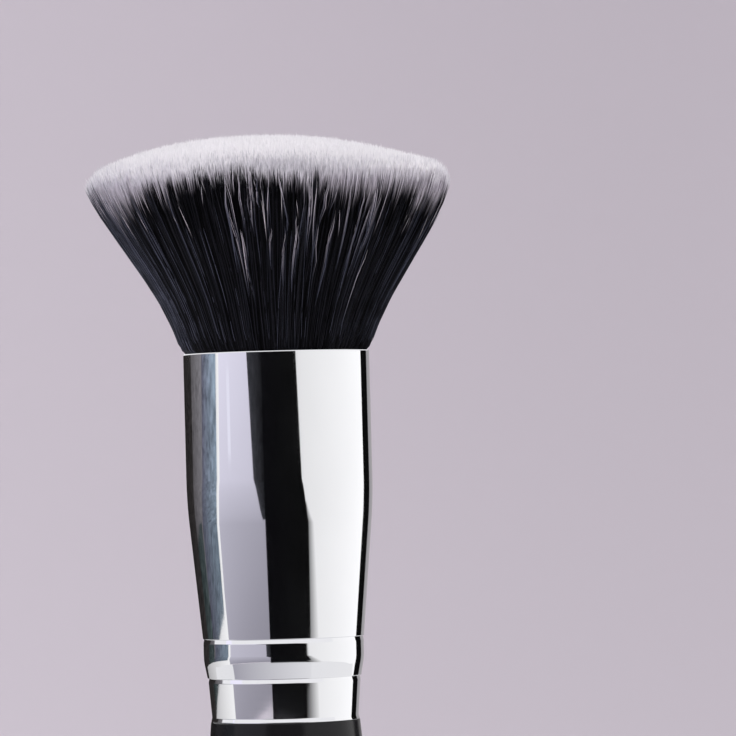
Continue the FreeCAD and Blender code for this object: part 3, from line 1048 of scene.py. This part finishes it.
class FLATTOP_OT_pale_glints(bpy.types.Operator):
    """Lays lighter tufts that partly stand in for glints, a painted highlight, and greyish down whose colour
    is painted sheen on the flank, and lets a few fibres stand out of the head
    """

    bl_idname = "flat_top.silver"
    # The lighter tufts are partly painted highlight, and the down's colour is painted sheen
    bl_label = "Silver, down and strays"

    def execute(self, context):
        head = context.scene.flat_top_head
        seated(self.silver(head), "white_fibre", "white_fibres")
        seated(self.down(head), "black_fibre", "black_fibres")
        seated(self.fringe(head), "white_fibre", "white_fibres")
        seated(self.strays(head), "black_fibre", "black_fibres")
        return {"FINISHED"}

    def silver(self, head):
        """Lens-shaped tufts of lighter fibres that partly stand in for glints on the black fibres, a painted
        highlight, most of them at the front and hanging from the white ends.
        """
        draw = np.random.default_rng(SEEDS["silver"])
        tufts = head.silver_fibres
        front = draw.uniform(0, 1, tufts) < PALE_GLINT_FRONT
        ahead = np.linspace(*PALE_GLINT_ANGLES, tufts) + draw.normal(0, PALE_GLINT_ASTRAY, tufts)
        middle = np.where(front, ahead, draw.uniform(-math.pi, math.pi, tufts))
        reach = draw.uniform(*PALE_GLINT_REACH, tufts)
        high = np.minimum(dye_line(head, middle), rim_height() - PALE_GLINT_BELOW)
        high += draw.uniform(*PALE_GLINT_UPPER, tufts)
        loose = draw.uniform(0, 1, tufts) < PALE_GLINT_LOOSE
        high -= np.where(loose, draw.uniform(*PALE_GLINT_LOWER, tufts), 0)
        each = np.repeat(np.arange(tufts), draw.integers(*PALE_GLINT_NUMBER, tufts))
        number = len(each)
        ring = np.array(PALE_GLINT_RINGS)
        turn = middle[each][:, None] + draw.normal(0, PALE_GLINT_CROOK, (tufts, len(ring)))[each]
        turn += draw.normal(0, PALE_GLINT_WIDTH, number)[:, None] * np.sin(math.pi * ring)
        upper = high[each] + draw.normal(0, PALE_GLINT_ENDS, number)
        height = upper[:, None] - reach[each][:, None] * (1 - ring)
        sway = draw.normal(0, PALE_GLINT_SWAY, tufts)[each][:, None] * (ring - 0.5)
        line = round_points(head, PALE_GLINT_OUT * flare(head, height), turn + sway, height)
        thick = head.fibre_radius * draw.uniform(*PALE_GLINT_STOUT, number)[:, None] * np.array(PALE_GLINT_TAPER)
        column = draw.integers(0, COLUMNS, number)
        # Painted highlight, in part: darker greyish lower ends that turn to a duller white above, so each
        # tuft reads as a glint along the black fibres
        finish = fibre_finish("silver_fibres", (scaled(head.grey, 0.5), scaled(head.grey, 1.5)),
                              (scaled(head.dull_and_shaded_white, 0.4), head.dull_and_shaded_white), *PALE_GLINT_GRADING)
        return fibres("silver_fibres", line, thick, column, finish)

    def down(self, head):
        """Fine greyish fibres on the flank whose colour is painted sheen, closer together at its left and
        right so that the sheen gathers at the flank's edges.
        """
        draw = np.random.default_rng(SEEDS["down"])
        number = head.sheen_down_fibres
        side = draw.choice(DOWN_AT, number, p=DOWN_CHANCE) + draw.normal(0, DOWN_SPREAD, number)
        at_side = draw.uniform(0, 1, number) < DOWN_SIDES
        turn = np.where(at_side, side, draw.uniform(-math.pi, math.pi, number))
        # Painted sheen: darker greyish below and lighter greyish above
        finish = fibre_finish("grey_down", (scaled(head.grey, 0.3), head.grey),
                              (head.grey, scaled(head.grey, 1.5)), *DOWN_SHEEN_LINE)
        return self.loose(head, draw, "grey_down", turn, draw.uniform(*DOWN_TOPS, number), DOWN_AWAY, finish)

    def fringe(self, head):
        """Pale fibres that stand loose where the rim meets the left flank."""
        draw = np.random.default_rng(SEEDS["fringe"])
        number = head.fringe_fibres
        turn = draw.normal(*FRINGE_AT, number)
        top = rim_height() - draw.uniform(*FRINGE_BELOW, number)
        finish = fibre_finish("pale_fringe", (scaled(head.grey, 0.4), scaled(head.grey, 1.5)),
                              (head.dull_and_shaded_white, head.white), *FRINGE_DYE)
        return self.loose(head, draw, "pale_fringe", turn, top, FRINGE_AWAY, finish)

    def loose(self, head, draw, name, turn, top, away, finish):
        """Thin fibres from the mouth to these heights, up to a share of the radius away from the flank."""
        number = len(turn)
        ring = np.array(FLANK_RINGS)
        height = rooted(head, top)
        out = 1 + draw.uniform(0, away, number)[:, None] * ring**2
        sway = draw.normal(0, LOOSE_SWAY, number)[:, None] * ring
        line = round_points(head, out * flare(head, height), turn[:, None] + sway, height)
        thick = head.fibre_radius * draw.uniform(*LOOSE_STOUT, number)[:, None] * np.array(FLANK_TAPER)
        return fibres(name, line, thick, draw.integers(0, COLUMNS, number), finish)

    def strays(self, head):
        """Thin fibres that stand a little out of the flank."""
        draw = np.random.default_rng(SEEDS["strays"])
        number = head.stray_fibres
        turn = draw.uniform(-math.pi, math.pi, number)
        height = rooted(head, draw.uniform(*STRAY_TOPS, number))
        ring = np.array(FLANK_RINGS)
        away = 1 + draw.uniform(*STRAY_AWAY, number)[:, None] * ring**3
        sway = draw.normal(0, STRAY_SWAY, number)[:, None] * ring**2
        line = round_points(head, away * flare(head, height), turn[:, None] + sway, height)
        thick = STRAY_STOUT * head.fibre_radius * np.ones((number, 1)) * np.array(FLANK_TAPER)
        column = draw.integers(0, COLUMNS, number)
        finish = fibre_finish("stray_fibres", (head.black, head.black_light), (head.dull_and_shaded_white, head.white),
                              *STRAY_DYE)
        return fibres("stray_fibres", line, thick, column, finish)


class FLATTOP_PT_panel(bpy.types.Panel):
    """Lists the brush's pieces and their sizes"""

    bl_idname = "FLATTOP_PT_panel"
    bl_label = "Flat-Top Brush"
    bl_space_type = "VIEW_3D"
    bl_region_type = "UI"
    bl_category = "Brush"

    def draw(self, context):
        for operator in OPERATORS:
            self.layout.operator(operator.bl_idname)
        for name, group in GROUPS.items():
            box = self.layout.box()
            box.label(text=name.removeprefix("flat_top_").capitalize())
            for prop in group.__annotations__:
                box.prop(getattr(context.scene, name), prop)


GROUPS = {
    "flat_top_handle": FLATTOP_PG_handle,
    "flat_top_ferrule": FLATTOP_PG_ferrule,
    "flat_top_root": FLATTOP_PG_root,
    "flat_top_head": FLATTOP_PG_head,
    "flat_top_studio": FLATTOP_PG_studio,
}
OPERATORS = (
    FLATTOP_OT_stage,
    FLATTOP_OT_handle,
    FLATTOP_OT_ferrule,
    FLATTOP_OT_root,
    FLATTOP_OT_core,
    FLATTOP_OT_flank,
    FLATTOP_OT_tips,
    FLATTOP_OT_pale_glints,
)
CLASSES = (*GROUPS.values(), *OPERATORS, FLATTOP_PT_panel)


def register():
    """Adds the classes, and the sizes as properties of a scene."""
    for cls in CLASSES:
        bpy.utils.register_class(cls)
    for name, group in GROUPS.items():
        setattr(bpy.types.Scene, name, PointerProperty(type=group))


def unregister():
    """Takes away what register has added."""
    for name in GROUPS:
        delattr(bpy.types.Scene, name)
    for cls in reversed(CLASSES):
        bpy.utils.unregister_class(cls)


def main():
    """Makes the studio and every piece."""
    register()
    bpy.ops.flat_top.stage()
    bpy.ops.flat_top.handle()
    bpy.ops.flat_top.ferrule()
    bpy.ops.flat_top.root()
    bpy.ops.flat_top.core()
    bpy.ops.flat_top.flank()
    bpy.ops.flat_top.tips()
    bpy.ops.flat_top.silver()


if __name__ == "__main__":
    main()
